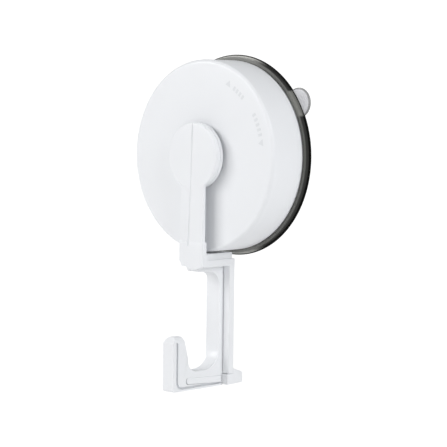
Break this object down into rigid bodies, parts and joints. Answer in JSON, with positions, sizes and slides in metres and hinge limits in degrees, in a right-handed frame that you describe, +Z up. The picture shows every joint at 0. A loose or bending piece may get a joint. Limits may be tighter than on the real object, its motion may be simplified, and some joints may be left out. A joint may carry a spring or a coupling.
{
  "type": "suction hook",
  "caption": "Twist-lock suction hook: round soft pad with a pull tab, turning cover, and a swivelling arm that steps back to a column and an upturned hook with a wall foot.",
  "frame": {"origin": "centre of the pad's rear face, on the wall plane", "axes": "+Z up, the front of the hook faces -Y, and +Y points into the wall"},
  "size_m": [0.086, 0.0413, 0.1414],
  "materials": {
    "white_plastic": "white moulded plastic, satin gloss",
    "smoke_soft_plastic": "clear soft plastic that looks dark at its thick rim, glossy",
    "natural_plastic": "natural bearing plastic, matt",
    "steel": "plain steel",
    "soft_grey": "matt pale soft plastic"
  },
  "bodies": {
    "base": {"suction_pad": "smoke_soft_plastic", "base_shell": "white_plastic", "friction_washer": "natural_plastic", "stop_pin": "steel", "pivot_collar": "white_plastic"},
    "cover": {"twist_cover": "white_plastic", "cam_ring": "natural_plastic", "cam_screw_1": "steel", "cam_screw_2": "steel", "cam_screw_3": "steel"},
    "stem": {"pad_stem": "white_plastic", "cross_pin": "steel"},
    "hook": {"hook_bracket": "white_plastic", "pivot_washer": "steel", "pivot_screw": "steel"},
    "foot": {"wall_foot": "white_plastic", "keeper_pin": "white_plastic", "foot_pad": "soft_grey"}
  },
  "joints": [
    {"name": "cover_turn", "type": "hinge", "parent": "base", "child": "cover", "pos_m": [0, -0.0226, 0], "axis": [0, 1, 0], "range_deg": [0, 90]},
    {"name": "stem_slide", "type": "slide", "parent": "base", "child": "stem", "axis": [0, -1, 0], "range_m": [0, 0.003]},
    {"name": "arm_swivel", "type": "hinge", "parent": "base", "child": "hook", "pos_m": [0, -0.0256, 0], "axis": [0, 1, 0], "continuous": true},
    {"name": "foot_slide", "type": "slide", "parent": "hook", "child": "foot", "axis": [0, -1, 0], "range_m": [0, 0.0006]}
  ],
  "couplings": [
    {"joint": "stem_slide", "follows": "cover_turn", "m_per_rad": 0.0019098}
  ]
}
